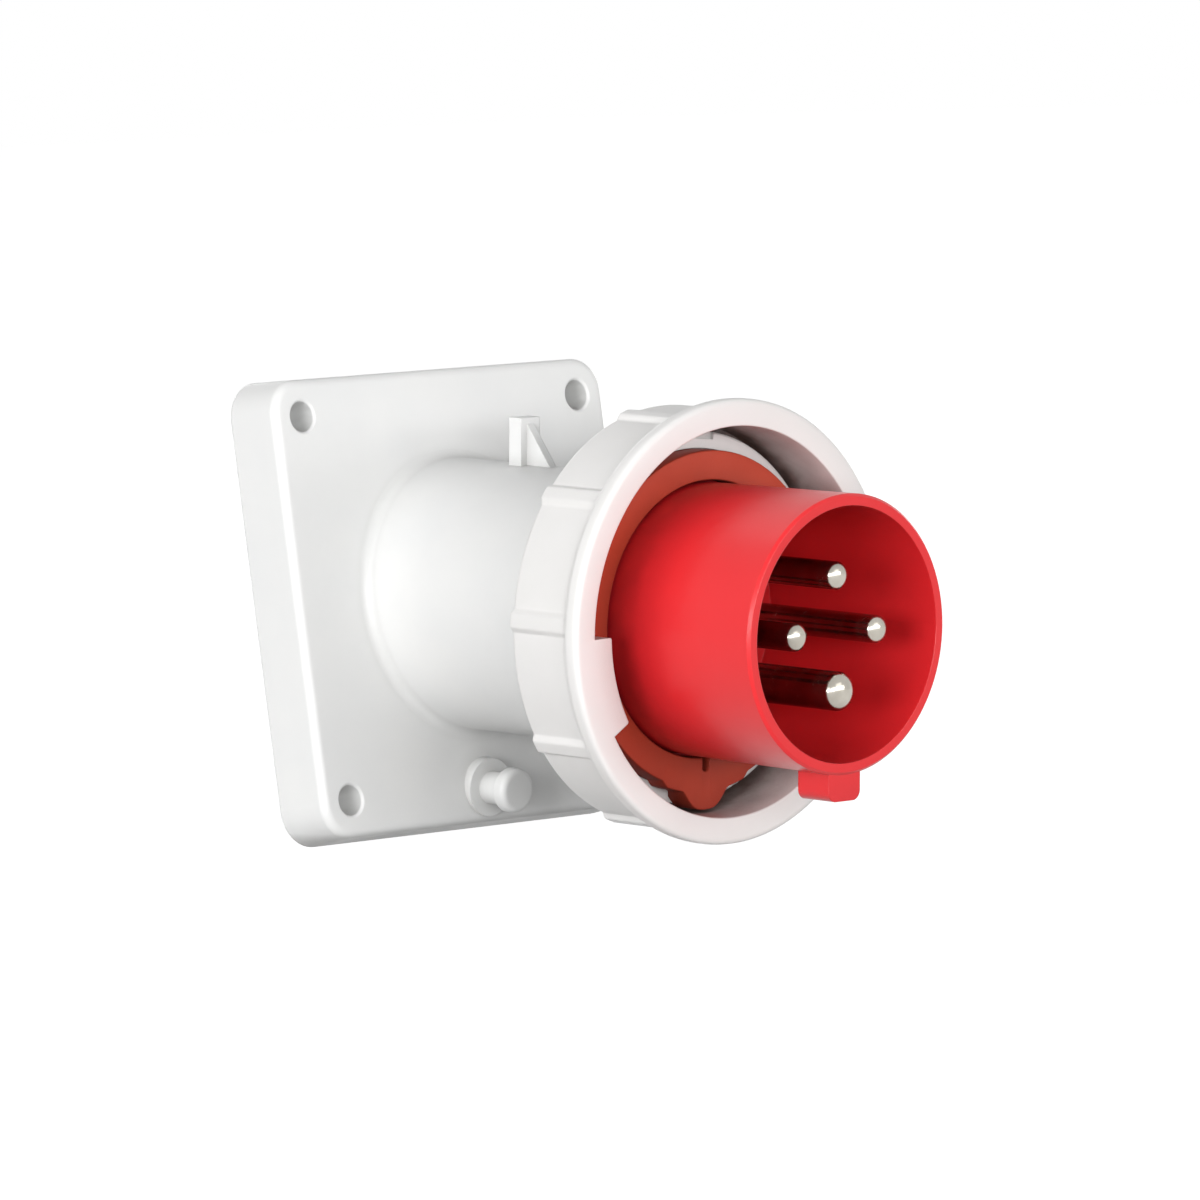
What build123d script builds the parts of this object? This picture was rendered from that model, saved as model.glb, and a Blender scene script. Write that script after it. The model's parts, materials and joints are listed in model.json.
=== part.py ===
from build123d import *
import math
import os

# A four-pin panel inlet plug: square flange, sloping neck, pin shroud and bayonet locking ring.
# Millimetres, +Z up. The front faces -Y, and the origin is the centre of the flange's back face.
# Distances called "at" run forward along the neck's axis, from where it leaves the flange's front face.
# Angles on planes across the neck are seen from the front: 0 is the right, 90 the top.

os.makedirs("parts", exist_ok=True)

# Flange: a shallow tray, open at the back, with a boss round each screw hole
flange_size = 85.0
flange_depth = 11.0
flange_draft = 4.0
flange_corner = 7.0
flange_edge = 1.6
flange_plate = 3.5
flange_wall = 4.5
hole_inset = 7.5
hole_radius = 2.8
hole_chamfer = 0.4
boss_wall = 2.8
tray_rib = 1.8
tray_rib_drop = 1.5
hub_wall = 2.6

# Seal cord in the flange's rim
seal_width = 2.0
seal_depth = 1.6
seal_gap = 0.05

# Neck, widening to the seat that the ring turns on
neck_slope = 10.7
neck_rise = 0.4
neck_wall = 3.2
neck_gap = 0.4
neck_fillet = 1.8
neck_length = 40.0
cone_length = 6.5
seat_length = 7.9
bead_height = 0.8
bead_length = 1.5

# Collar in front of the ring's seat
collar_step = 1.9
collar_length = 3.4
collar_edge = 0.4
collar_rim = 3.05
recess_depth = 0.8
notch_angle = 84.0
notch_width = 4.6
notch_depth = 1.4

# Stop rib on top of the neck, and the web in front of it
stop_at = 13.7
stop_thickness = 3.1
stop_width = 4.8
stop_height = 8.7
web_thickness = 1.7
web_length = 5.9
web_drop = 1.1

# Peg for the strap of a protective cap, parallel to the neck
peg_side = -1.0
peg_inset = 7.1
peg_base_radius = 5.4
peg_base_length = 1.3
peg_stem_radius = 3.0
peg_stem_length = 4.4
peg_head_radius = 4.1
peg_head_length = 2.9
peg_head_round = 1.1
peg_head_edge = 0.4

# Contact carrier: pin shroud, key, shoulder, floor and skirt in one moulding
shroud_length = 39.8
shroud_wall = 2.1
shroud_draft = 0.5
shroud_bore_draft = 0.4
shroud_edge = 0.5
shoulder_thickness = 4.0
shoulder_gap = 0.2
recess_ledge = 1.75
seat_ledge = 1.3
floor_set_back = 1.0
floor_thickness = 4.0
skirt_wall = 1.8
skirt_length = 6.0
skirt_gap = 0.3
pocket_wall = 1.2
key_width = 8.0
key_height = 4.7
key_length = 8.0
key_corner = 1.8

# Face gasket
gasket_thickness = 5.0
gasket_width = 5.3
gasket_gap = 0.15
gasket_hole_gap = 0.5
lobe_width = 10.6
lobe_corner = 4.0
lobe_gap = 0.4
gasket_notch_width = 2.0
gasket_notch_depth = 3.0

# Bayonet ring
ring_length = 18.3
ring_space = 1.6
ring_wall = 2.7
ring_bore_draft = 0.3
ring_back_edge = 0.8
ring_front_edge = 1.1
rim_step = 2.2
rim_length = 3.0
rim_slope = 1.6
grip_count = 10
grip_height = 1.2
grip_width = 4.0
grip_first = 177.5
lip_length = 3.3
lip_gap = 0.3
lip_play = 0.4
lug_angle = 30.0
lug_first = 181.0
lug_height = 4.2
lug_length = 5.2
lug_ramp = 6.0

# Turn stops: blocks on the neck's seat that stand in windows of the ring's lip
turn_angle = 40.0
block_angle = 10.0
block_height = 1.2
block_gap = 0.3
block_play = 1.0

# Pins and their terminals, on one circle
pin_circle = 10.27
pin_clear = 9.13
phase_radius = 2.5
phase_set_back = 3.4
phase_terminal_radius = 4.6
earth_radius = 3.5
earth_set_back = 1.9
earth_terminal_radius = 5.0
pin_collar_step = 0.7
pin_collar_length = 4.0
pin_seat_step = 0.4
pin_gap = 0.05
terminal_length = 16.0
terminal_edge = 0.5
wire_bore_radius = 2.6
wire_bore_depth = 10.5

# Retainer plate that holds the pins, with walls between the terminals
retainer_thickness = 4.0
retainer_rim_gap = 0.3
retainer_gap = 0.15
wall_thickness = 1.6
wall_length = 13.0
wall_rim_gap = 1.0
wall_head_gap = 1.0

# Terminal screws, and the leaves that they press on the wires
terminal_screw_radius = 1.95
terminal_screw_inset = 5.0
terminal_screw_lift = 1.0
terminal_head_radius = 2.9
terminal_head_length = 2.0
slot_width = 0.9
slot_depth = 1.0
leaf_thickness = 0.5
leaf_width = 3.2
leaf_height = 1.45
leaf_length = 9.0
leaf_tab = 4.2

# Small fixing screws: retainer to carrier, and carrier to neck
small_screw_radius = 1.4
screw_gap = 0.02
screw_spare = 0.5
screw_boss_radius = 3.1
screw_boss_floor = 1.0
cross_width = 0.8
cross_depth = 0.9
cross_share = 1.2
retainer_screw_circle = 15.0
retainer_screw_angle = 45.0
retainer_screw_length = 8.0
retainer_head_radius = 2.6
retainer_head_length = 1.8
carrier_screw_angle = 135.0
carrier_screw_length = 7.5
carrier_head_radius = 1.6
carrier_head_length = 1.5

# How far an added form starts inside what carries it, and how far a cut runs past what it cuts
sink = 1.0

# Places on the flange
hole_spacing = flange_size - 2 * hole_inset
peg_height = peg_inset - flange_size / 2

# Places along the neck's axis
seat_at = neck_length + cone_length
collar_back_at = seat_at + seat_length
collar_at = collar_back_at + collar_length
shoulder_at = collar_at - recess_depth
shoulder_back_at = shoulder_at - shoulder_thickness
shroud_at = shoulder_at + shroud_length
floor_at = shoulder_at - floor_set_back
floor_back_at = floor_at - floor_thickness
lip_at = collar_back_at - lip_play
ring_back_at = lip_at - lip_length
ring_at = ring_back_at + ring_length
rim_at = ring_at - rim_length
terminal_front_at = floor_back_at - pin_collar_length
terminal_back_at = terminal_front_at - terminal_length
plate_at = terminal_front_at - retainer_thickness

# Radii that follow from what they fit: the pins set the shroud, and the rest is built outward from it
shroud_bore_radius = pin_circle + earth_radius + pin_clear
shroud_radius = shroud_bore_radius + shroud_wall
shroud_root_radius = shroud_radius - shroud_draft
gasket_hole_radius = shroud_root_radius + gasket_hole_gap
gasket_radius = gasket_hole_radius + gasket_width
recess_radius = gasket_radius + gasket_gap
collar_radius = recess_radius + collar_rim
seat_radius = collar_radius - collar_step
shoulder_seat_radius = recess_radius - recess_ledge
shoulder_radius = shoulder_seat_radius - shoulder_gap
seat_bore = shoulder_radius - seat_ledge
carrier_screw_circle = (shroud_root_radius + shoulder_radius) / 2
skirt_radius = carrier_screw_circle - screw_boss_radius - skirt_gap
skirt_bore = skirt_radius - skirt_wall
retainer_radius = skirt_bore - retainer_rim_gap
neck_bore = retainer_radius + neck_gap
neck_radius = neck_bore + neck_wall
ring_bore_radius = collar_radius + ring_space
ring_radius = ring_bore_radius + ring_wall
rim_radius = ring_radius + rim_step
grip_radius = ring_radius + grip_height
lip_radius = seat_radius + lip_gap
lug_radius = ring_bore_radius - lug_height
lobe_radius = ring_bore_radius - ring_bore_draft - lobe_gap

# Planes on the neck: across it, and along it with the radius as first coordinate
slope = math.radians(neck_slope)
forward = Vector(0, -math.cos(slope), -math.sin(slope))
neck_start = Vector(0, -flange_depth, neck_rise)
neck_axis = Axis(neck_start, forward)
across = Plane(origin=neck_start, x_dir=(1, 0, 0), z_dir=forward)
radial = Plane(origin=neck_start, x_dir=(1, 0, 0), z_dir=forward.cross(Vector(1, 0, 0)) * -1)

# The flange's face cuts the neck at a slant, and the neck's lowest side starts this far behind its axis
neck_root = neck_radius * math.tan(slope) + sink


def outward(angle):
    """The direction away from the neck's axis at that angle."""
    return across.x_dir * math.cos(math.radians(angle)) + across.y_dir * math.sin(math.radians(angle))


def on_circle(radius, angle):
    """The point at that radius and angle on a plane across the neck."""
    return (radius * math.cos(math.radians(angle)), radius * math.sin(math.radians(angle)))


def turned(points, mode=Mode.ADD):
    """A body turned about the neck's axis. The points of its half section are radius and place forward."""
    with BuildSketch(radial) as half:
        with BuildLine():
            Polyline(*points, close=True)
        make_face()
    revolve(half.sketch, axis=neck_axis, mode=mode)


def sector(radius_in, radius_out, start, angle, at, length, mode=Mode.ADD):
    """A part of a tube about the neck's axis, from one angle on and from one place forward."""
    with BuildSketch(across.offset(at)) as arc:
        with BuildLine():
            inner = CenterArc((0, 0), radius_in, start, angle)
            outer = CenterArc((0, 0), radius_out, start, angle)
            Line(inner @ 0, outer @ 0)
            Line(inner @ 1, outer @ 1)
        make_face()
    extrude(arc.sketch, amount=length, mode=mode)


def rod(place, radius, at, length, mode=Mode.ADD):
    """A round bar along the neck, centred on a point of the plane across it."""
    with BuildSketch(across.offset(at)) as disc:
        with Locations(place):
            Circle(radius)
    extrude(disc.sketch, amount=length, mode=mode)


def finish(piece, name):
    """Labels a finished piece and writes it to its file."""
    piece.part.label = name
    export_step(piece.part, f"parts/{name}.step")


# Housing: flange, neck, collar, stop rib and peg in one moulding
with BuildPart() as housing:
    with BuildSketch(Plane.XZ):
        RectangleRounded(flange_size, flange_size, flange_corner)
    extrude(amount=flange_depth, taper=flange_draft)
    fillet(housing.edges().group_by(Axis.Y)[0], radius=flange_edge)
    turned([
        (0, -neck_root), (neck_radius, -neck_root), (neck_radius, neck_length), (seat_radius, seat_at),
        (seat_radius, collar_back_at), (collar_radius, collar_back_at), (collar_radius, collar_at),
        (0, collar_at),
    ])
    split(bisect_by=Plane.XZ, keep=Keep.TOP)
    front_edges = housing.edges().filter_by_position(Axis.Y, -flange_depth - 0.01, -flange_depth + 0.01)
    fillet(front_edges.filter_by(GeomType.ELLIPSE), radius=neck_fillet)
    fillet(housing.edges().group_by(neck_axis)[-1], radius=collar_edge)

    # Bead that keeps the ring from sliding back
    turned([
        (seat_radius - sink, seat_at), (seat_radius, seat_at),
        (seat_radius + bead_height, seat_at + bead_length / 2), (seat_radius, seat_at + bead_length),
        (seat_radius - sink, seat_at + bead_length),
    ])

    # Tray behind the flange's plate, with bosses, ribs and the hub round the neck's opening
    hub_middle = neck_rise + flange_depth / 2 * math.tan(slope)
    hub_radius = neck_bore + hub_wall + flange_depth / 2 * math.tan(slope)
    tray_size = flange_size - 2 * flange_wall
    tray_depth = flange_depth - flange_plate
    with BuildSketch(Plane.XZ):
        RectangleRounded(tray_size, tray_size, flange_corner - flange_wall / 2)
        with GridLocations(hole_spacing, hole_spacing, 2, 2):
            Circle(hole_radius + boss_wall, mode=Mode.SUBTRACT)
        with Locations((0, hub_middle)):
            Circle(hub_radius, mode=Mode.SUBTRACT)
    extrude(amount=tray_depth, mode=Mode.SUBTRACT)
    with BuildSketch(Plane.XZ.offset(tray_rib_drop)):
        with Locations(Rotation(0, 0, 45), Rotation(0, 0, -45)):
            Rectangle(hole_spacing * math.sqrt(2), tray_rib)
        Rectangle(tray_size, tray_rib)
        Rectangle(tray_rib, tray_size)
    extrude(amount=tray_depth - tray_rib_drop)

    # Bore of the neck, seat of the carrier's shoulder and recess of the gasket
    turned([
        (0, -2 * flange_depth), (neck_bore, -2 * flange_depth), (neck_bore, neck_length + sink),
        (seat_bore, seat_at + sink), (seat_bore, shoulder_back_at), (shoulder_seat_radius, shoulder_back_at),
        (shoulder_seat_radius, shoulder_at), (recess_radius, shoulder_at), (recess_radius, collar_at),
        (0, collar_at),
    ], mode=Mode.SUBTRACT)
    pilot_length = carrier_screw_length - (shoulder_thickness - carrier_head_length) + screw_spare
    boss_length = pilot_length + screw_boss_floor
    for angle in (carrier_screw_angle, carrier_screw_angle + 180):
        place = on_circle(carrier_screw_circle, angle)
        rod(place, screw_boss_radius, shoulder_back_at - boss_length, boss_length)
        pilot_at = shoulder_back_at - pilot_length
        rod(place, small_screw_radius + screw_gap, pilot_at, pilot_length, Mode.SUBTRACT)

    # Gap in the collar for the gasket's lobe, and a notch near the top
    with BuildSketch(across.offset(shoulder_at)):
        with Locations((0, -collar_radius)):
            Rectangle(lobe_width + 2 * gasket_gap, 2 * (collar_radius - shoulder_seat_radius))
        with Locations(Location(on_circle(collar_radius, notch_angle), notch_angle)):
            Rectangle(2 * notch_depth, notch_width)
    extrude(amount=recess_depth + sink, mode=Mode.SUBTRACT)

    # Blocks on the ring's seat that end its turn
    for middle in (90, 270):
        sector(
            seat_radius - sink, seat_radius + block_height, middle - block_angle / 2, block_angle,
            ring_back_at - sink, collar_back_at - ring_back_at + 2 * sink,
        )

    # Stop rib and its web
    stop_top = neck_radius + stop_height
    with BuildSketch(across.offset(stop_at)):
        with Locations((0, (neck_radius - sink + stop_top) / 2)):
            Rectangle(stop_width, stop_height + sink)
    extrude(amount=stop_thickness)
    web_at = stop_at + stop_thickness
    web_top = stop_top - web_drop
    with BuildSketch(Plane(origin=neck_start, x_dir=forward, z_dir=(-1, 0, 0))):
        with BuildLine():
            Polyline(
                (web_at - sink, neck_radius - sink), (web_at + web_length, neck_radius - sink),
                (web_at + web_length, neck_radius), (web_at, web_top), (web_at - sink, web_top), close=True,
            )
        make_face()
    extrude(amount=web_thickness / 2, both=True)

    # Peg: base, stem and a button head with a rounded rim
    peg_start = Vector(peg_side, -flange_depth, peg_height)
    head_at = peg_base_length + peg_stem_length
    peg_tip = head_at + peg_head_length
    round_at = peg_tip - peg_head_round
    with BuildSketch(Plane(origin=peg_start, x_dir=(1, 0, 0), z_dir=radial.z_dir)):
        with BuildLine():
            head_round = CenterArc((peg_head_radius - peg_head_round, round_at), peg_head_round, 0, 90)
            Polyline(
                head_round @ 1, (0, peg_tip), (0, -peg_base_length), (peg_base_radius, -peg_base_length),
                (peg_base_radius, peg_base_length), (peg_stem_radius, peg_base_length),
                (peg_stem_radius, head_at), (peg_head_radius - peg_head_edge, head_at),
                (peg_head_radius, head_at + peg_head_edge), head_round @ 0,
            )
        make_face()
    revolve(axis=Axis(peg_start, forward))

    # Screw holes and the groove of the seal cord
    with BuildSketch(Plane.XZ):
        with GridLocations(hole_spacing, hole_spacing, 2, 2):
            Circle(hole_radius)
    extrude(amount=flange_depth, mode=Mode.SUBTRACT)
    face_edges = housing.edges().filter_by_position(Axis.Y, -flange_depth - 0.01, -flange_depth + 0.01)
    hole_edges = face_edges.filter_by(GeomType.CIRCLE).filter_by(lambda edge: edge.is_closed)
    chamfer(hole_edges, length=hole_chamfer)
    groove_middle = flange_size - flange_wall
    with BuildSketch(Plane.XZ):
        groove_outside = groove_middle + seal_width
        groove_inside = groove_middle - seal_width
        RectangleRounded(groove_outside, groove_outside, flange_corner)
        RectangleRounded(groove_inside, groove_inside, flange_corner - seal_width, mode=Mode.SUBTRACT)
    extrude(amount=seal_depth, mode=Mode.SUBTRACT)
finish(housing, "housing")

# Seal cord in the flange's groove
with BuildPart() as flange_seal:
    outer_side = groove_outside - 2 * seal_gap
    inner_side = groove_inside + 2 * seal_gap
    with BuildSketch(Plane.XZ):
        RectangleRounded(outer_side, outer_side, flange_corner - seal_gap)
        RectangleRounded(inner_side, inner_side, flange_corner - seal_width + seal_gap, mode=Mode.SUBTRACT)
    extrude(amount=seal_depth)
finish(flange_seal, "flange_seal")

# The four pins: name, angle, radius, place of the tip and radius of the terminal
pins = [
    ("left_phase", 180, phase_radius, shroud_at - phase_set_back, phase_terminal_radius),
    ("top_phase", 90, phase_radius, shroud_at - phase_set_back, phase_terminal_radius),
    ("right_phase", 0, phase_radius, shroud_at - phase_set_back, phase_terminal_radius),
    ("earth", 270, earth_radius, shroud_at - earth_set_back, earth_terminal_radius),
]
retainer_screw_places = [on_circle(retainer_screw_circle, retainer_screw_angle + turn) for turn in (0, 180)]
carrier_screw_places = [on_circle(carrier_screw_circle, carrier_screw_angle + turn) for turn in (0, 180)]

# Contact carrier: the shroud is a tapered tube with a chamfered rim
with BuildPart() as contact_carrier:
    turned([
        (0, floor_back_at), (skirt_bore, floor_back_at), (skirt_bore, floor_back_at - skirt_length),
        (skirt_radius, floor_back_at - skirt_length), (skirt_radius, shoulder_back_at),
        (shoulder_radius, shoulder_back_at), (shoulder_radius, shoulder_at),
        (shroud_root_radius, shoulder_at), (shroud_radius, shroud_at - shroud_edge),
        (shroud_radius - shroud_edge, shroud_at), (shroud_bore_radius, shroud_at),
        (shroud_bore_radius - shroud_bore_draft, floor_at), (0, floor_at),
    ])

    # Key under the shroud's rim
    with BuildSketch(across.offset(shroud_at - key_length)):
        with Locations((0, -(shroud_root_radius - sink + shroud_radius + key_height) / 2)):
            Rectangle(key_width, key_height + shroud_draft + sink)
    extrude(amount=key_length - shroud_edge)
    key_bottom = contact_carrier.edges().filter_by(neck_axis).group_by(Axis.Z)[0]
    fillet(key_bottom, radius=key_corner)

    # Pockets of the pins' collars and bosses of the retainer's screws, then their bores
    for name, angle, radius, tip_at, terminal_radius in pins:
        pocket_radius = terminal_radius + pin_collar_step + pin_gap
        rod(on_circle(pin_circle, angle), pocket_radius + pocket_wall, terminal_front_at, pin_collar_length)
    for place in retainer_screw_places:
        rod(place, screw_boss_radius, terminal_front_at, pin_collar_length)
    for name, angle, radius, tip_at, terminal_radius in pins:
        place = on_circle(pin_circle, angle)
        pocket_radius = terminal_radius + pin_collar_step + pin_gap
        rod(place, pocket_radius, terminal_front_at, pin_collar_length, Mode.SUBTRACT)
        rod(place, radius + pin_seat_step + pin_gap, floor_back_at, floor_thickness, Mode.SUBTRACT)
    for place in retainer_screw_places:
        pilot_depth = retainer_screw_length - retainer_thickness + screw_spare
        rod(place, small_screw_radius + screw_gap, terminal_front_at, pilot_depth, Mode.SUBTRACT)
    for place in carrier_screw_places:
        head_depth = carrier_head_length + screw_gap
        rod(place, small_screw_radius + screw_gap, shoulder_back_at, shoulder_thickness, Mode.SUBTRACT)
        rod(place, carrier_head_radius + screw_gap, shoulder_at - head_depth, head_depth, Mode.SUBTRACT)
finish(contact_carrier, "contact_carrier")

# Face gasket, with its lobe and the notch under the key
with BuildPart() as face_gasket:
    with BuildSketch(across.offset(shoulder_at)):
        Circle(gasket_radius)
        with Locations((0, -(gasket_hole_radius + lobe_radius) / 2)):
            RectangleRounded(lobe_width, lobe_radius - gasket_hole_radius, lobe_corner)
        Circle(gasket_hole_radius, mode=Mode.SUBTRACT)
        with Locations((0, -gasket_hole_radius)):
            Rectangle(gasket_notch_width, 2 * gasket_notch_depth, mode=Mode.SUBTRACT)
    extrude(amount=gasket_thickness)
finish(face_gasket, "face_gasket")

# One lug of the bayonet ring, whose back is a ramp: it is thinner at the end that meets the socket first
with BuildPart() as lug:
    sector(lug_radius, ring_bore_radius + sink, lug_first, lug_angle, ring_at - lug_length, lug_length)
    lug_middle = lug_first + lug_angle / 2
    half_lug = rim_radius * math.sin(math.radians(lug_angle / 2))
    ramp_rise = 2 * half_lug * math.tan(math.radians(lug_ramp))
    ramp_start = neck_start + forward * (ring_at - lug_length)
    with BuildSketch(Plane(origin=ramp_start, x_dir=outward(lug_middle + 90), z_dir=outward(lug_middle))):
        with BuildLine():
            Polyline((-half_lug, 0), (half_lug, 0), (half_lug, ramp_rise), close=True)
        make_face()
    extrude(amount=rim_radius, mode=Mode.SUBTRACT)

# Bayonet ring: lip, wall, front rim, grip ribs and the two lugs
with BuildPart() as bayonet_ring:
    turned([
        (lip_radius, ring_back_at), (ring_radius - ring_back_edge, ring_back_at),
        (ring_radius, ring_back_at + ring_back_edge), (ring_radius, rim_at - rim_slope),
        (rim_radius, rim_at), (rim_radius, ring_at), (ring_bore_radius, ring_at),
        (ring_bore_radius - ring_bore_draft, lip_at), (lip_radius, lip_at),
    ])
    with BuildSketch(across.offset(ring_back_at)):
        with PolarLocations((ring_radius - sink + grip_radius) / 2, grip_count, grip_first):
            Rectangle(grip_height + sink, grip_width)
    extrude(amount=rim_at - ring_back_at)
    front_edges = bayonet_ring.edges().group_by(neck_axis)[-1].sort_by(SortBy.LENGTH)
    fillet(front_edges[-1], radius=ring_front_edge)
    add(lug.part)
    add(lug.part.rotate(neck_axis, 180))

    # Windows in the lip, as long as the turn
    for middle in (90, 270):
        sector(
            lip_radius - sink, seat_radius + block_height + block_gap,
            middle - block_angle / 2 - turn_angle - block_play, turn_angle + block_angle + 2 * block_play,
            ring_back_at, lip_length, Mode.SUBTRACT,
        )
finish(bayonet_ring, "bayonet_ring")

# Pins: domed tip, seat in the carrier's floor, collar behind it, and a terminal with wire bore and screw hole
for name, angle, radius, tip_at, terminal_radius in pins:
    pin_start = neck_start + outward(angle) * pin_circle
    dome_at = tip_at - radius
    bore_end_at = terminal_back_at + wire_bore_depth
    collar = terminal_radius + pin_collar_step
    seat = radius + pin_seat_step
    with BuildPart() as pin:
        with BuildSketch(Plane(origin=pin_start, x_dir=(1, 0, 0), z_dir=radial.z_dir)):
            with BuildLine():
                dome = CenterArc((0, dome_at), radius, 0, 90)
                Polyline(
                    dome @ 1, (0, bore_end_at), (wire_bore_radius, bore_end_at),
                    (wire_bore_radius, terminal_back_at), (terminal_radius - terminal_edge, terminal_back_at),
                    (terminal_radius, terminal_back_at + terminal_edge), (terminal_radius, terminal_front_at),
                    (collar, terminal_front_at), (collar, floor_back_at), (seat, floor_back_at),
                    (seat, floor_at), (radius, floor_at), dome @ 0,
                )
            make_face()
        revolve(axis=Axis(pin_start, forward))
        screw_start = pin_start + forward * (terminal_back_at + terminal_screw_inset)
        with BuildSketch(Plane(origin=screw_start, x_dir=forward, z_dir=outward(angle))):
            Circle(terminal_screw_radius + screw_gap)
        extrude(amount=terminal_radius + sink, mode=Mode.SUBTRACT)
    finish(pin, f"{name}_pin")

# Retainer plate, with the walls that keep the terminals apart: one ends short of the screws' heads
with BuildPart() as pin_retainer:
    with BuildSketch(across.offset(plate_at)):
        Circle(retainer_radius)
        for name, angle, radius, tip_at, terminal_radius in pins:
            with Locations(on_circle(pin_circle, angle)):
                Circle(terminal_radius + retainer_gap, mode=Mode.SUBTRACT)
        with Locations(*retainer_screw_places):
            Circle(small_screw_radius + screw_gap, mode=Mode.SUBTRACT)
    extrude(amount=retainer_thickness)
    short_wall = 2 * (retainer_screw_circle - retainer_head_radius - wall_head_gap)
    with BuildSketch(across.offset(plate_at - wall_length)):
        with Locations(Rotation(0, 0, retainer_screw_angle)):
            Rectangle(short_wall, wall_thickness)
        with Locations(Rotation(0, 0, retainer_screw_angle + 90)):
            Rectangle(2 * (retainer_radius - wall_rim_gap), wall_thickness)
    extrude(amount=wall_length)
finish(pin_retainer, "pin_retainer")


def cross_head_screw(place, head_at, head_radius, head_length, shank_length, way):
    """A screw along the neck, with a cross in its head. It points forward if way is 1, back if it is -1."""
    with BuildSketch(across.offset(head_at)) as head:
        with Locations(place):
            Circle(head_radius)
    extrude(head.sketch, amount=way * head_length)
    with BuildSketch(across.offset(head_at + way * head_length)) as shank:
        with Locations(place):
            Circle(small_screw_radius)
    extrude(shank.sketch, amount=way * shank_length)
    with BuildSketch(across.offset(head_at)) as cross:
        with Locations(place):
            Rectangle(cross_share * head_radius, cross_width)
            Rectangle(cross_width, cross_share * head_radius)
    extrude(cross.sketch, amount=way * cross_depth, mode=Mode.SUBTRACT)


# Screws that hold the retainer to the carrier from behind, and the carrier to the neck from the front
for letter, place in zip("ab", retainer_screw_places):
    with BuildPart() as retainer_screw:
        cross_head_screw(
            place, plate_at - retainer_head_length, retainer_head_radius, retainer_head_length,
            retainer_screw_length, 1,
        )
    finish(retainer_screw, f"retainer_screw_{letter}")
for letter, place in zip("ab", carrier_screw_places):
    with BuildPart() as carrier_screw:
        cross_head_screw(
            place, shoulder_at, carrier_head_radius, carrier_head_length, carrier_screw_length, -1,
        )
    finish(carrier_screw, f"carrier_screw_{letter}")

# Terminal screws with slotted heads, and the leaves that hook over the terminals' ends
leaf_top = leaf_height + leaf_thickness
for name, angle, radius, tip_at, terminal_radius in pins:
    pin_start = neck_start + outward(angle) * pin_circle
    screw_start = pin_start + forward * (terminal_back_at + terminal_screw_inset)
    screw_plane = Plane(origin=screw_start, x_dir=forward, z_dir=outward(angle))
    head_from = terminal_radius + terminal_screw_lift
    with BuildPart() as terminal_screw:
        with BuildSketch(screw_plane.offset(leaf_top)):
            Circle(terminal_screw_radius)
        extrude(amount=head_from - leaf_top)
        with BuildSketch(screw_plane.offset(head_from)):
            Circle(terminal_head_radius)
        extrude(amount=terminal_head_length)
        with BuildSketch(screw_plane.offset(head_from + terminal_head_length)):
            Rectangle(2 * (terminal_head_radius + sink), slot_width)
        extrude(amount=-slot_depth, mode=Mode.SUBTRACT)
    finish(terminal_screw, f"{name}_screw")
    with BuildPart() as leaf:
        with BuildSketch(Plane(origin=pin_start, x_dir=forward, z_dir=outward(angle + 90))):
            with BuildLine():
                tab_at = terminal_back_at - leaf_thickness
                leaf_end_at = terminal_back_at + leaf_length
                Polyline(
                    (tab_at, leaf_height), (leaf_end_at, leaf_height), (leaf_end_at, leaf_top),
                    (terminal_back_at, leaf_top), (terminal_back_at, leaf_tab), (tab_at, leaf_tab), close=True,
                )
            make_face()
        extrude(amount=leaf_width / 2, both=True)
    finish(leaf, f"{name}_leaf")
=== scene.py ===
import json
from math import asin, atan2, cos, degrees, pi, radians, sin, sqrt

import bmesh
import bpy
from mathutils import Matrix, Vector


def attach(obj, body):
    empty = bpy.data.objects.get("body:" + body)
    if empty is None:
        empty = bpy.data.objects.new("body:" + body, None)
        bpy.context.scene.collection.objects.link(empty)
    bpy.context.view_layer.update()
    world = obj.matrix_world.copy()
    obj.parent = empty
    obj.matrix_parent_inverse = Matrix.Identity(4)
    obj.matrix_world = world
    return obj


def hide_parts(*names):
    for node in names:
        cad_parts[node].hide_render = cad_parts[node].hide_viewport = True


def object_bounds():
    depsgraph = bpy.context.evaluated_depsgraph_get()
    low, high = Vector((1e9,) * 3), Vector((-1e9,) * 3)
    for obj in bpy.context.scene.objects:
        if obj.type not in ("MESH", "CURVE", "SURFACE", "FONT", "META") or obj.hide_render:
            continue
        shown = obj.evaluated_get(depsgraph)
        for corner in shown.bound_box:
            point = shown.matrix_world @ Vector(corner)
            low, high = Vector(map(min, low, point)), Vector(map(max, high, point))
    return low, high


# A four-pin panel inlet plug: its finishes, softer forms for the ring, gasket and pins, threaded screws,
# soft studio light and the photo's angle. Metres, +Z up, and the front faces -Y.

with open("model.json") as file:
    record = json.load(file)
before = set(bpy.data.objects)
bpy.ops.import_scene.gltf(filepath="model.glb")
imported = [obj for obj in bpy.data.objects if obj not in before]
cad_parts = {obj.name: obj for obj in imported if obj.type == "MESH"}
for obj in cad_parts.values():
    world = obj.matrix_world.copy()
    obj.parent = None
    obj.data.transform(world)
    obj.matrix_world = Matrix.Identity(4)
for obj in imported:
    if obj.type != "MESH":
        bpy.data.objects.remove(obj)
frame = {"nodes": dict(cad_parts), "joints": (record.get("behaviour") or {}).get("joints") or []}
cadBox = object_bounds()
nodes = frame["nodes"]

# The ring turns on the neck's axis, so its joint says where the neck runs
turn = frame["joints"][0]
neckStart = Vector(turn["pos_m"])
forward = Vector(turn["axis"]).normalized()
side = Vector((1, 0, 0))
up = forward.cross(side)
print("frame loaded:", len(nodes), "nodes")


# Short words for building node trees

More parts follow.
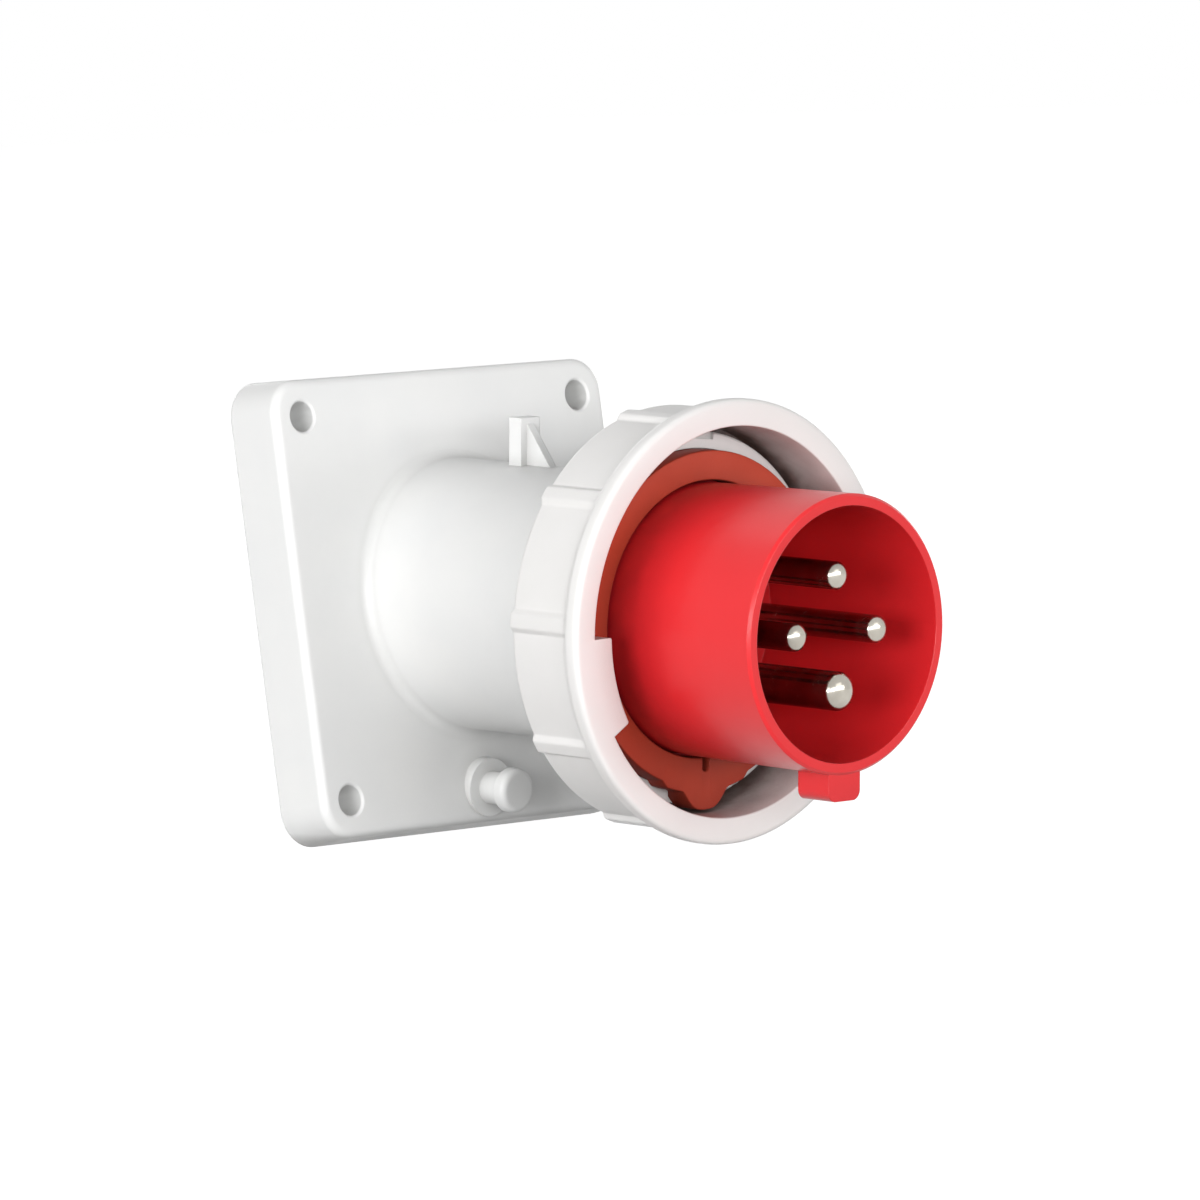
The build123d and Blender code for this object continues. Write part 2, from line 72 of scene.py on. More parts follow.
def newNode(tree, kind, sockets=None, **settings):
    made = tree.nodes.new(kind)
    for name, value in settings.items():
        setattr(made, name, value)
    for name, value in (sockets or {}).items():
        if isinstance(value, bpy.types.NodeSocket):
            tree.links.new(value, made.inputs[name])
        else:
            made.inputs[name].default_value = value
    return made


def newMath(tree, operation, first, second=0.0, clamp=False):
    made = newNode(tree, "ShaderNodeMath", {0: first, 1: second}, operation=operation, use_clamp=clamp)
    return made.outputs[0]


def newVector(tree, operation, *sockets):
    return newNode(tree, "ShaderNodeVectorMath", dict(enumerate(sockets)), operation=operation).outputs


def newNoise(tree, place, scale, detail, roughness=0.5):
    sockets = {"Vector": place, "Scale": scale, "Detail": detail, "Roughness": roughness}
    return newNode(tree, "ShaderNodeTexNoise", sockets).outputs["Fac"]


def newLineNoise(tree, along, scale, detail):
    sockets = {"W": along, "Scale": scale, "Detail": detail}
    return newNode(tree, "ShaderNodeTexNoise", sockets, noise_dimensions="1D").outputs["Fac"]


def newMix(tree, amount, first, second):
    mixed = newNode(tree, "ShaderNodeMix", {"Factor": amount}, data_type="RGBA")
    for socket, value in (("A_Color", first), ("B_Color", second)):
        target = next(s for s in mixed.inputs if s.identifier == socket)
        if isinstance(value, bpy.types.NodeSocket):
            tree.links.new(value, target)
        else:
            target.default_value = value
    return next(s for s in mixed.outputs if s.identifier == "Result_Color")


def newRange(tree, value, low, high, newLow=0.0, newHigh=1.0):
    sockets = {"Value": value, "From Min": low, "From Max": high, "To Min": newLow, "To Max": newHigh}
    return newNode(tree, "ShaderNodeMapRange", sockets).outputs["Result"]


def objectPlace(tree):
    return tree.nodes.new("ShaderNodeTexCoord").outputs["Object"]


def newGroup(name, inputs, outputs):
    group = bpy.data.node_groups.new(name, "ShaderNodeTree")
    for label, start in inputs.items():
        socket = group.interface.new_socket(label, in_out="INPUT", socket_type="NodeSocketFloat")
        socket.default_value = start
    for label, kind in outputs.items():
        group.interface.new_socket(label, in_out="OUTPUT", socket_type=kind)
    return group, group.nodes.new("NodeGroupInput").outputs, group.nodes.new("NodeGroupOutput")


def useGroup(tree, group, **values):
    made = newNode(tree, "ShaderNodeGroup", node_tree=group)
    for name, value in values.items():
        made.inputs[name].default_value = value
    return made.outputs


def srgb(red, green, blue):
    linear = [c / 12.92 if c <= 0.04045 else ((c + 0.055) / 1.055) ** 2.4 for c in (red, green, blue)]
    return (*linear, 1.0)


def camelName(name):
    first, *rest = name.split("_")
    return first + "".join(word.title() for word in rest)


# Settings of the effects below. Nearly all of a noise lies within noiseSpan
floatSocket = "NodeSocketFloat"
vectorSocket = "NodeSocketVector"
noiseSpan = (0.3, 0.7)
effects = {
    "grainDetail": 3.0, "grainRoughness": 0.55, "cloudDetail": 4.0, "edgeSamples": 6, "shadeAndDustSamples": 8,
    "patchScale": 220.0, "patchDetail": 5.0, "patchShare": (0.65, 0.9),
    "scuffScale": 0.25, "scuffDetail": 1.0, "scuffFrom": 0.76, "scuffTo": 0.8,
    "scuffTurns": ((0.4, 0.2, 0.9), (1.1, -0.7, -0.5)),
    "toolScale": 0.9, "bandScale": 0.04, "toolDetail": 2.0,
}


# Fine orange-peel of a moulded skin, and the slow cloudiness of its colour
def buildMouldedSkin():
    group, given, out = newGroup(
        "mouldedSkin", {"Grain": 0.0004, "Cloud": 0.012}, {"Height": floatSocket, "Cloud": floatSocket},
    )
    place = objectPlace(group)
    grainScale = newMath(group, "DIVIDE", 1.0, given["Grain"])
    grain = newNoise(group, place, grainScale, effects["grainDetail"], effects["grainRoughness"])
    cloud = newNoise(group, place, newMath(group, "DIVIDE", 1.0, given["Cloud"]), effects["cloudDetail"])
    group.links.new(grain, out.inputs["Height"])
    group.links.new(newRange(group, cloud, *noiseSpan), out.inputs["Cloud"])
    return group


# Rounds the shading over sharp edges and says where those edges are
def buildSoftEdges():
    group, given, out = newGroup(
        "softEdges", {"Radius": 0.0003, "Gain": 2.0}, {"Normal": vectorSocket, "Edge": floatSocket},
    )
    bevel = newNode(group, "ShaderNodeBevel", {"Radius": given["Radius"]}, samples=effects["edgeSamples"])
    rounded = bevel.outputs["Normal"]
    flat = group.nodes.new("ShaderNodeNewGeometry").outputs["Normal"]
    bent = newMath(group, "SUBTRACT", 1.0, newVector(group, "DOT_PRODUCT", rounded, flat)["Value"])
    group.links.new(rounded, out.inputs["Normal"])
    group.links.new(newMath(group, "MULTIPLY", bent, given["Gain"], clamp=True), out.inputs["Edge"])
    return group


# Painted shade in corners, seams and recesses, with some dust: colour darkened by ambient occlusion, no
# further from the neck's axis than Inside
def buildCornerShadeAndDust():
    group, given, out = newGroup(
        "cornerShadeAndDust", {"Reach": 0.003, "Amount": 0.5, "Inside": 1.0}, {"Dust": floatSocket},
    )
    place = objectPlace(group)
    fromStart = newVector(group, "SUBTRACT", place, tuple(neckStart))["Vector"]
    crossed = newVector(group, "CROSS_PRODUCT", fromStart, tuple(forward))["Vector"]
    fromAxis = newVector(group, "LENGTH", crossed)["Value"]
    near = newMath(group, "LESS_THAN", fromAxis, given["Inside"])
    shade = newNode(
        group, "ShaderNodeAmbientOcclusion", {"Distance": given["Reach"]}, samples=effects["shadeAndDustSamples"],
    )
    # The less open a point is, the more painted shade it gets
    closed = newMath(group, "SUBTRACT", 1.0, shade.outputs["AO"])
    patches = newNoise(group, place, effects["patchScale"], effects["patchDetail"])
    spread = newRange(group, patches, *noiseSpan, *effects["patchShare"])
    shadeAndDust = newMath(group, "MULTIPLY", newMath(group, "MULTIPLY", closed, spread), given["Amount"], clamp=True)
    group.links.new(newMath(group, "MULTIPLY", shadeAndDust, near), out.inputs["Dust"])
    return group


# Hair-fine scuffs from handling, in two directions
def buildScuffs():
    group, given, out = newGroup(
        "handlingScuffs", {"Length": 0.02, "Width": 0.00012, "Share": 0.06}, {"Scuff": floatSocket},
    )
    place = objectPlace(group)
    marks = []
    for turns in effects["scuffTurns"]:
        turned = newNode(group, "ShaderNodeMapping", {"Vector": place, "Rotation": turns})
        spans = {"X": "Length", "Y": "Width", "Z": "Width"}
        squeeze = newNode(group, "ShaderNodeCombineXYZ", {
            axis: newMath(group, "DIVIDE", 1.0, given[span]) for axis, span in spans.items()
        })
        stretched = newVector(group, "MULTIPLY", turned.outputs["Vector"], squeeze.outputs[0])["Vector"]
        noise = newNoise(group, stretched, effects["scuffScale"], effects["scuffDetail"])
        low = newMath(group, "SUBTRACT", effects["scuffFrom"], given["Share"])
        marks.append(newRange(group, noise, low, effects["scuffTo"]))
    group.links.new(newMath(group, "MAXIMUM", *marks, clamp=True), out.inputs["Scuff"])
    return group


# Rings left by the lathe tool round a turned part, and its slight waviness
def buildToolMarks():
    group, given, out = newGroup(
        "toolMarks", {"Pitch": 0.00012}, {"Height": floatSocket, "Band": floatSocket},
    )
    along = newVector(group, "DOT_PRODUCT", objectPlace(group), tuple(forward))["Value"]
    turns = newMath(group, "DIVIDE", along, given["Pitch"])
    rings = newLineNoise(group, turns, effects["toolScale"], effects["toolDetail"])
    band = newLineNoise(group, turns, effects["bandScale"], effects["toolDetail"])
    group.links.new(rings, out.inputs["Height"])
    group.links.new(newRange(group, band, *noiseSpan), out.inputs["Band"])
    return group


mouldedSkin = buildMouldedSkin()
softEdges = buildSoftEdges()
cornerShadeAndDust = buildCornerShadeAndDust()
handlingScuffs = buildScuffs()
toolMarks = buildToolMarks()
print("shader groups built")


def newMaterial(name):
    material = bpy.data.materials.new(name)
    material.use_nodes = True
    tree = material.node_tree
    return material, tree, tree.nodes["Principled BSDF"]


# Clouded colour with lighter edges, and painted shade with some dust in the corners and recesses
def colourWithPaintedShade(tree, look, cloud, edge):
    shadeAndDust = useGroup(
        tree, cornerShadeAndDust, Reach=look["shadeAndDustReach"], Amount=look["shadeAndDustAmount"], Inside=look["shadeAndDustInside"],
    )["Dust"]
    colour = newMix(tree, cloud, look["colour"], look["cloudColour"])
    colour = newMix(tree, newMath(tree, "MULTIPLY", edge, look["edgeLight"]), colour, look["edgeColour"])
    return newMix(tree, shadeAndDust, colour, look["shadeAndDustColour"])


# Roughness that follows a mask, and is higher where the surface is scuffed
def wornRoughness(tree, look, mask, scuff):
    rough = newRange(tree, mask, 0.0, 1.0, *look["roughness"])
    return newMath(tree, "ADD", rough, newMath(tree, "MULTIPLY", scuff, look["scuffRoughness"]), clamp=True)


# Moulded plastic or rubber: colours, shine and grain come from the piece's own look
def mouldedMaterial(name, look):
    material, tree, shader = newMaterial(name)
    skin = useGroup(tree, mouldedSkin, Grain=look["grainSize"], Cloud=look["cloudSize"])
    edges = useGroup(tree, softEdges, Radius=look["edgeRadius"])
    scuff = useGroup(tree, handlingScuffs, Share=look["scuffShare"])["Scuff"]
    relief = newMath(tree, "SUBTRACT", skin["Height"], newMath(tree, "MULTIPLY", scuff, look["scuffDepth"]))
    bump = newNode(
        tree, "ShaderNodeBump", {"Height": relief, "Normal": edges["Normal"], "Distance": look["grainDepth"]},
    )
    tree.links.new(colourWithPaintedShade(tree, look, skin["Cloud"], edges["Edge"]), shader.inputs["Base Color"])
    tree.links.new(wornRoughness(tree, look, skin["Cloud"], scuff), shader.inputs["Roughness"])
    tree.links.new(bump.outputs["Normal"], shader.inputs["Normal"])
    shader.inputs["IOR"].default_value = look["ior"]
    return material


# Plated or plain metal with tool marks
def turnedMaterial(name, look):
    material, tree, shader = newMaterial(name)
    marks = useGroup(tree, toolMarks, Pitch=look["markPitch"])
    skin = useGroup(tree, mouldedSkin, Grain=look["grainSize"], Cloud=look["cloudSize"])
    edges = useGroup(tree, softEdges, Radius=look["edgeRadius"])
    scuff = useGroup(
        tree, handlingScuffs, Share=look["scuffShare"], Length=look["scuffLength"], Width=look["scuffWidth"],
    )["Scuff"]
    height = marks["Height"]
    bump = newNode(
        tree, "ShaderNodeBump", {"Height": height, "Normal": edges["Normal"], "Distance": look["markDepth"]},
    )
    tree.links.new(colourWithPaintedShade(tree, look, skin["Cloud"], edges["Edge"]), shader.inputs["Base Color"])
    tree.links.new(wornRoughness(tree, look, marks["Band"], scuff), shader.inputs["Roughness"])
    tree.links.new(bump.outputs["Normal"], shader.inputs["Normal"])
    shader.inputs["Metallic"].default_value = 1.0
    return material


# What the plastics and the metals have in common. The shade-and-dust settings give every finish a little
# painted shade, with some dust, in its corners
plastic = {
    "grainSize": 0.0005, "grainDepth": 0.000012, "cloudSize": 0.015, "edgeRadius": 0.0003, "edgeLight": 0.35,
    "shadeAndDustReach": 0.003, "shadeAndDustAmount": 0.25, "shadeAndDustInside": 1.0,
    "scuffShare": 0.03, "scuffRoughness": 0.15, "scuffDepth": 0.25, "ior": 1.49,
}
metal = {
    "markPitch": 0.00012, "markDepth": 0.000002, "grainSize": 0.0003, "cloudSize": 0.004,
    "edgeRadius": 0.00012, "edgeLight": 0.5, "shadeAndDustReach": 0.003, "shadeAndDustAmount": 0.3, "shadeAndDustInside": 1.0,
    "scuffShare": 0.02, "scuffRoughness": 0.08, "scuffLength": 0.006, "scuffWidth": 0.00005,
}

# One finish for each slot of the record
mouldedLooks = {
    # Grey painted shade, with some dust, in corners and holes, and a painted contact shadow where the flange's
    # underside meets the floor
    "housing_white": {
        **plastic, "colour": srgb(0.925, 0.925, 0.92), "cloudColour": srgb(0.91, 0.912, 0.91),
        "edgeColour": srgb(0.96, 0.96, 0.955), "shadeAndDustColour": srgb(0.50, 0.49, 0.47),
        "roughness": (0.36, 0.44), "shadeAndDustAmount": 0.7,
    },
    # Brown painted shade, with some dust, on the ring's inner walls and in the groove round the gasket
    "ring_white": {
        **plastic, "colour": srgb(0.94, 0.935, 0.93), "cloudColour": srgb(0.925, 0.92, 0.912),
        "edgeColour": srgb(0.97, 0.965, 0.96), "shadeAndDustColour": srgb(0.36, 0.27, 0.24),
        "roughness": (0.34, 0.42), "shadeAndDustReach": 0.011, "shadeAndDustAmount": 1.35, "shadeAndDustInside": 0.0353,
    },
    # Dark red painted shade, with some dust, inside the shroud and where the ring shades it
    "carrier_red": {
        **plastic, "colour": srgb(0.915, 0.165, 0.185), "cloudColour": srgb(0.895, 0.155, 0.178),
        "edgeColour": srgb(0.96, 0.36, 0.35), "shadeAndDustColour": srgb(0.34, 0.06, 0.09),
        "roughness": (0.28, 0.36), "shadeAndDustReach": 0.014, "shadeAndDustAmount": 0.75,
        "grainDepth": 0.000006, "ior": 1.45,
    },
    # Dark painted shade, with some dust, in the groove between the gasket and the ring
    "gasket_orange": {
        **plastic, "colour": srgb(0.72, 0.235, 0.125), "cloudColour": srgb(0.69, 0.225, 0.13),
        "edgeColour": srgb(0.78, 0.32, 0.24), "shadeAndDustColour": srgb(0.30, 0.13, 0.10),
        "roughness": (0.55, 0.68), "shadeAndDustReach": 0.007, "shadeAndDustAmount": 0.7,
        "grainSize": 0.0003, "grainDepth": 0.00002,
    },
    "seal_black": {
        **plastic, "colour": srgb(0.10, 0.10, 0.10), "cloudColour": srgb(0.13, 0.13, 0.125),
        "edgeColour": srgb(0.2, 0.2, 0.2), "shadeAndDustColour": srgb(0.26, 0.25, 0.24),
        "roughness": (0.6, 0.75), "grainSize": 0.00025, "grainDepth": 0.00003,
    },
    "retainer_grey": {
        **plastic, "colour": srgb(0.42, 0.43, 0.44), "cloudColour": srgb(0.39, 0.40, 0.41),
        "edgeColour": srgb(0.55, 0.56, 0.57), "shadeAndDustColour": srgb(0.24, 0.24, 0.24),
        "roughness": (0.42, 0.52),
    },
}
turnedLooks = {
    # Near-black painted shade, with some dust, on the pin shanks deep inside the shroud
    "pin_nickel": {
        **metal, "colour": srgb(0.77, 0.75, 0.71), "cloudColour": srgb(0.70, 0.68, 0.64),
        "edgeColour": srgb(0.88, 0.86, 0.82), "shadeAndDustColour": srgb(0.09, 0.05, 0.05),
        "roughness": (0.16, 0.26), "shadeAndDustReach": 0.016, "shadeAndDustAmount": 1.5,
    },
    "screw_steel": {
        **metal, "colour": srgb(0.72, 0.72, 0.72), "cloudColour": srgb(0.66, 0.66, 0.67),
        "edgeColour": srgb(0.86, 0.86, 0.86), "shadeAndDustColour": srgb(0.25, 0.24, 0.23),
        "roughness": (0.24, 0.34),
    },
    "leaf_steel": {
        **metal, "colour": srgb(0.68, 0.67, 0.64), "cloudColour": srgb(0.6, 0.59, 0.57),
        "edgeColour": srgb(0.82, 0.81, 0.79), "shadeAndDustColour": srgb(0.25, 0.22, 0.2),
        "roughness": (0.3, 0.42),
    },
}
finishes = {
    **{slot: mouldedMaterial(camelName(slot), look) for slot, look in mouldedLooks.items()},
    **{slot: turnedMaterial(camelName(slot), look) for slot, look in turnedLooks.items()},
}
for part in nodes.values():
    for place in part.material_slots:
        place.material = finishes[place.material.name.split(".")[0]]
print("finishes set on", len(nodes), "nodes")


# New pieces, in millimetres and degrees, on the same axis and from the same start as the CAD's
perMetre = 1000
sharpAngle = radians(32)
weldDistance = 1e-6
cornerLimit = 0.49
coarseStep = 1.5
tinyStep = 0.01


# Turns each corner (radius, place along the axis, rounding) into the same count of points, by a curve
def roundedCorners(corners, steps=4):
    points = []
    for index, (radius, along, rounding) in enumerate(corners):
        here = Vector((radius, along))
        before = Vector(corners[index - 1][:2]) - here
        after = Vector(corners[(index + 1) % len(corners)][:2]) - here
        start = here + before.normalized() * min(rounding, cornerLimit * before.length)
        end = here + after.normalized() * min(rounding, cornerLimit * after.length)
        for share in (step / steps for step in range(steps + 1)):
            points.append(start * (1 - share) ** 2 + here * (2 * share * (1 - share)) + end * share ** 2)
    return points


# Carries a closed row of points (radius, place along the axis) round an axis; it may change with the angle
def sweptMesh(name, start, axis, across, angles, section):
    above = axis.cross(across)
    shape = bmesh.new()
    rows = []
    for angle in angles:
        outward = across * cos(radians(angle)) + above * sin(radians(angle))
        rows.append([
            shape.verts.new(start + (axis * along + outward * radius) / perMetre)
            for radius, along in section(angle)
        ])
    for row, nextRow in zip(rows, rows[1:] + rows[:1]):
        for index in range(len(row)):
            shape.faces.new((row[index - 1], row[index], nextRow[index], nextRow[index - 1]))
    bmesh.ops.remove_doubles(shape, verts=shape.verts, dist=weldDistance)
    loose = [edge for edge in shape.edges if not edge.link_faces]
    bmesh.ops.delete(shape, geom=loose, context="EDGES")
    bmesh.ops.recalc_face_normals(shape, faces=shape.faces)
    mesh = bpy.data.meshes.new(name)
    shape.to_mesh(mesh)
    shape.free()
    return mesh


# Shades a mesh, gives it its finish, and says what it rides on and replaces
def addPiece(mesh, body, slot, replaced=None):
    mesh.shade_smooth()
    mesh.set_sharp_from_angle(angle=sharpAngle)
    mesh.materials.append(finishes[slot])
    piece = bpy.data.objects.new(mesh.name, mesh)
    bpy.context.scene.collection.objects.link(piece)
    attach(piece, body)
    if replaced:
        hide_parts(replaced)


# Coarse steps all round
def evenAngles():
    return {round(coarseStep * step, 4) for step in range(int(360 / coarseStep))}


# Closer steps on both sides of each place
def anglesAround(places, reach, gap):
    count = round(reach / gap)
    return {round((place + gap * step) % 360, 4) for place in places for step in range(-count, count + 1)}


# The ends of equal spans round the axis
def spanEnds(middles, span):
    return [middle + way * span / 2 for middle in middles for way in (-1, 1)]


# Rises smoothly from 0 at low to 1 at high
def easedStep(value, low, high):
    share = min(1.0, max(0.0, (value - low) / (high - low)))
    return share * share * (3 - 2 * share)


# Degrees past the middle, from -180 to 180
def signedAngle(angle, middle):
    return (angle - middle + 180) % 360 - 180


# Straight away from the neck's axis
def outwardAt(angle):
    return side * cos(radians(angle)) + up * sin(radians(angle))


# Locking ring: soft grip ribs, a rim with a sloping back, a lip with two windows, and ramped lugs
ringLook = {
    "back": 50.7, "lip": 54.0, "rimBack": 66.0, "front": 69.0, "bore": 35.1, "boreAtLip": 34.8,
    "wall": 37.8, "rim": 39.99, "rimSlope": 1.6,
    "lipRound": 0.3, "backRound": 0.8, "rootRound": 1.4, "rimRound": 0.8, "frontRound": 1.1, "boreRound": 0.35,
    "gripCount": 10, "firstGrip": 177.5, "gripWidth": 4.0, "gripHeight": 0.9, "gripSoft": (1.0, 0.3),
    "lipRadius": 31.9, "windowRadius": 33.1, "windowAngle": 52.0, "windowMiddles": (70.0, 250.0),
    "lugRadius": 30.9, "lugLength": 5.2, "lugRise": 2.18, "lugRound": 0.4, "lugAngle": 30.0,
    "lugMiddles": (196.0, 16.0),
}
ringSteps = {"gripReach": 4.5, "gripGap": 0.3, "lugReach": 0.8, "lugGap": 0.1}


# Outer radius over the grip ribs
def gripRadius(angle):
    look = ringLook
    pitch = 360 / look["gripCount"]
    fromMiddle = (angle - look["firstGrip"]) % pitch
    fromMiddle = min(fromMiddle, pitch - fromMiddle)
    pastEdge = radians(fromMiddle) * look["wall"] - look["gripWidth"] / 2
    inner, outer = look["gripSoft"]
    return look["wall"] + look["gripHeight"] * (1 - easedStep(pastEdge, -inner, outer))


def ringSection(angle):
    look = ringLook
    outer = gripRadius(angle)
    slope = look["rimSlope"] * (look["rim"] - outer) / (look["rim"] - look["wall"])
    fromWindow = min(abs(signedAngle(angle, middle)) for middle in look["windowMiddles"])
    lip = look["windowRadius"] if fromWindow < look["windowAngle"] / 2 else look["lipRadius"]
    fromLug = min((signedAngle(angle, middle) for middle in look["lugMiddles"]), key=abs)
    insideEnd = radians(look["lugAngle"] / 2 - abs(fromLug)) * look["lugRadius"]
    inner, lugRound = look["bore"], 0
    if insideEnd >= 0:
        lugRound = look["lugRound"]
        corner = lugRound - min(insideEnd, lugRound)
        inner = look["lugRadius"] + lugRound - sqrt(lugRound ** 2 - corner ** 2)
    alongLug = min(1, max(0, fromLug / look["lugAngle"] + 0.5))
    lugBack = look["front"] - look["lugLength"] + look["lugRise"] * alongLug
    return roundedCorners([
        (lip, look["back"], look["lipRound"]), (outer, look["back"], look["backRound"]),
        (outer, look["rimBack"] - slope, look["rootRound"]), (look["rim"], look["rimBack"], look["rimRound"]),
        (look["rim"], look["front"], look["frontRound"]), (inner, look["front"], look["boreRound"]),
        (inner, lugBack, lugRound), (look["bore"], lugBack, 0), (look["boreAtLip"], look["lip"], 0),
        (lip, look["lip"], 0),
    ])


def buildRing():
    look, steps = ringLook, ringSteps
    grips = [look["firstGrip"] + 360 / look["gripCount"] * step for step in range(look["gripCount"])]
    lugEnds = spanEnds(look["lugMiddles"], look["lugAngle"])
    windowEnds = spanEnds(look["windowMiddles"], look["windowAngle"])
    angles = evenAngles() | anglesAround(grips, steps["gripReach"], steps["gripGap"])
    angles |= anglesAround(lugEnds, steps["lugReach"], steps["lugGap"])
    angles |= anglesAround(lugEnds + windowEnds, 2 * tinyStep, tinyStep)
    mesh = sweptMesh("turningRing", neckStart, forward, side, sorted(angles), ringSection)
    addPiece(mesh, "ring", "ring_white", "bayonet_ring")


# Face gasket: in front of the collar a wider pad with a round lobe below, and a notch under the key
gasketLook = {
    "back": 57.0, "collar": 57.85, "front": 62.0, "hole": 25.0, "radius": 30.3, "edge": 0.35, "below": 270,
    "padRadius": 31.2, "padHalfWidth": 11.0, "padSoft": (1.5, 0.5), "lobeRadius": 34.4, "lobeHalfWidth": 6.2,
    "lobeCurve": 1.6, "gapHalfWidth": 5.3, "notchWidth": 1.8, "notchDepth": 2.4,
}
gasketSteps = {"lobeReach": 24, "lobeGap": 0.25, "edgeReach": 0.1, "corner": 3}


# Outer radius in front of the collar, from the distance sideways
def lobeRadius(sideways):
    look = gasketLook
    inner, outer = look["padSoft"]
    pad = 1 - easedStep(sideways, look["padHalfWidth"] - inner, look["padHalfWidth"] + outer)
    bump = 0.5 + 0.5 * cos(pi * min(1, sideways / look["lobeHalfWidth"]) ** look["lobeCurve"])
    padded = look["radius"] + (look["padRadius"] - look["radius"]) * pad
    return padded + (look["lobeRadius"] - look["padRadius"]) * bump


def gasketSection(angle):
    look = gasketLook
    turned = sin(radians(min(abs(signedAngle(angle, look["below"])), 90)))
    sideways = look["padRadius"] * turned
    outer = lobeRadius(sideways)
    behind = outer if sideways < look["gapHalfWidth"] else look["radius"]
    hole = look["hole"]
    half = look["notchWidth"] / 2
    if hole * turned <= half:
        hole += look["notchDepth"] - half + sqrt(half ** 2 - (hole * turned) ** 2)
    return roundedCorners([
        (hole, look["back"], 0), (behind, look["back"], 0), (behind, look["collar"], 0),
        (outer, look["collar"], 0), (outer, look["front"], look["edge"]), (hole, look["front"], look["edge"]),
    ], gasketSteps["corner"])


def buildGasket():
    look, steps = gasketLook, gasketSteps
    notchEdge = degrees(asin(look["notchWidth"] / 2 / look["hole"]))
    gapEdge = degrees(asin(look["gapHalfWidth"] / look["padRadius"]))
    edges = [look["below"] + way * place for way in (-1, 1) for place in (notchEdge, gapEdge)]
    angles = evenAngles() | anglesAround([look["below"]], steps["lobeReach"], steps["lobeGap"])
    angles |= anglesAround(edges, steps["edgeReach"], tinyStep)
    mesh = sweptMesh("faceSeal", neckStart, forward, side, sorted(angles), gasketSection)
    addPiece(mesh, "plug", "gasket_orange", "face_gasket")


# Pin fronts: low domes that reach nearly to the shroud's rim, over the CAD's pins by a hair
pinLook = {"circle": 10.27, "floor": 56.05, "cover": 0.01, "domeSteps": 18, "turnStep": 5}
phaseFront = {"radius": 2.5, "tip": 95.4, "dome": 1.6}
earthFront = {"radius": 3.5, "tip": 96.7, "dome": 2.3}
pinFronts = {
    "leftPhase": {"angle": 180, **phaseFront}, "topPhase": {"angle": 90, **phaseFront},
    "rightPhase": {"angle": 0, **phaseFront}, "earth": {"angle": 270, **earthFront},
}


def pinOutline(look):
    radius = look["radius"] + pinLook["cover"]
    domeStart = look["tip"] - look["dome"]
    rises = [pi / 2 * step / pinLook["domeSteps"] for step in range(pinLook["domeSteps"])]
    dome = [(radius * cos(rise), domeStart + look["dome"] * sin(rise)) for rise in rises]
    return [(0, pinLook["floor"]), (radius, pinLook["floor"]), *dome, (0, look["tip"])]


def buildPinFronts():
    for name, look in pinFronts.items():
        start = neckStart + outwardAt(look["angle"]) * pinLook["circle"] / perMetre
        outline = pinOutline(look)
        angles = range(0, 360, pinLook["turnStep"])
        mesh = sweptMesh(f"{name}Front", start, forward, side, angles, lambda angle: outline)
        addPiece(mesh, "plug", "pin_nickel")


# Screws: each has its node's place and length. A slot is its width and depth, and reach is half its length
screwLook = {
    "terminal": {
        "shank": 1.95, "head": 2.9, "headLength": 2.0, "pitch": 0.7, "slot": (0.9, 1.0), "reach": 3.9,
    },
    "retainer": {
        "shank": 1.4, "head": 2.6, "headLength": 1.8, "pitch": 0.6, "slot": (0.8, 0.9), "reach": 1.56,
    },
    "carrier": {
        "shank": 1.4, "head": 1.6, "headLength": 1.5, "pitch": 0.6, "slot": (0.8, 0.9), "reach": 0.96,
    },
}
threadLook = {
    "depth": 0.5, "margin": 0.3, "pointsPerTurn": 8, "flank": 1.3, "crest": 0.15, "runOut": (1.2, 0.4),
    "turnStep": 9, "underHead": 0.15, "headEdge": 0.45,
}
screws = {
    "left_phase_screw": ("terminal", outwardAt(180)), "top_phase_screw": ("terminal", outwardAt(90)),
    "right_phase_screw": ("terminal", outwardAt(0)), "earth_screw": ("terminal", outwardAt(270)),
    "retainer_screw_a": ("retainer", -forward), "retainer_screw_b": ("retainer", -forward),
    "carrier_screw_a": ("carrier", forward), "carrier_screw_b": ("carrier", forward),
}


# The middle of a node across an axis, at its lowest place along it, and its length
def spanAlong(node, axis, across):
    above = axis.cross(across)
    spans = []
    for way in (axis, across, above):
        reached = [vertex.co.dot(way) for vertex in node.data.vertices]
        spans.append((min(reached), max(reached)))
    middle = across * sum(spans[1]) / 2 + above * sum(spans[2]) / 2
    return middle + axis * spans[0][0], (spans[0][1] - spans[0][0]) * perMetre


# A point's place on the thread's flanks follows both its angle and its place along the screw
def screwSection(look, length):
    thread = threadLook
    depth = thread["depth"] * look["pitch"]
    headAt = length - look["headLength"]
    threaded = headAt - 2 * thread["margin"]
    count = round(threaded / look["pitch"] * thread["pointsPerTurn"])
    runOutFrom, runOutTo = (headAt - before for before in thread["runOut"])
    head = roundedCorners([
        (0, headAt, 0), (look["head"], headAt, thread["underHead"]),
        (look["head"], length, thread["headEdge"]), (0, length, 0),
    ])
    pointsPerCorner = len(head) // 4

    def section(angle):
        points = [(0, 0), (look["shank"] - depth, 0)]
        for step in range(count + 1):
            along = thread["margin"] + threaded * step / count
            turned = (along / look["pitch"] - angle / 360) % 1
            flank = min(1, max(0, abs(2 * turned - 1) * thread["flank"] - thread["crest"]))
            runOut = easedStep(along, runOutFrom, runOutTo)
            points.append((look["shank"] - depth * flank * (1 - runOut), along))
        points.append((look["shank"], headAt))
        return points + [tuple(point) for point in head[pointsPerCorner:]]

    return section


